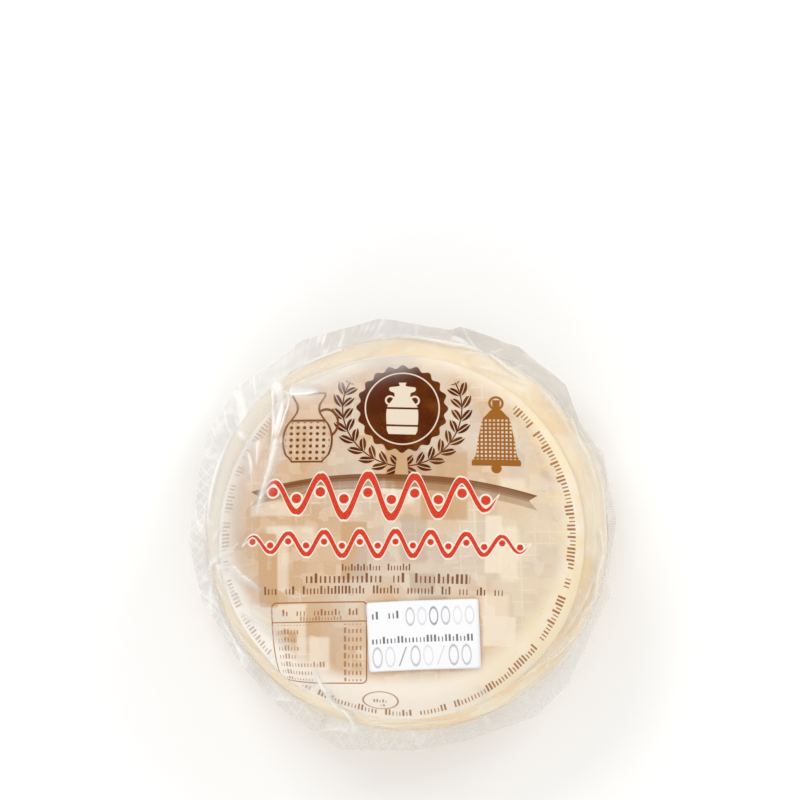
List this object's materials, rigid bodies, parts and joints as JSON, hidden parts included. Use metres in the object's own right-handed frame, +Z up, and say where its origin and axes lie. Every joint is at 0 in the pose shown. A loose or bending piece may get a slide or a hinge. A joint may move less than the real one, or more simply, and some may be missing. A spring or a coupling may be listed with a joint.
{
  "type": "vacuum-packed caciotta cheese",
  "caption": "Small round caciotta cheese in a clear vacuum pouch with a narrow seam flange, a round paper label on top and a white date sticker.",
  "frame": {"origin": "centre of the wheel's flat base", "axes": "+Z up through the label, -Y towards the reader of the label"},
  "size_m": [0.1023, 0.105, 0.0452],
  "materials": {
    "pouch_film": "gloss",
    "label_paper": "satin",
    "sticker_paper": "satin",
    "cheese_rind": "matte"
  },
  "bodies": {
    "root": {"pouch": "pouch_film", "label": "label_paper", "date_sticker": "sticker_paper"}
  },
  "joints": []
}
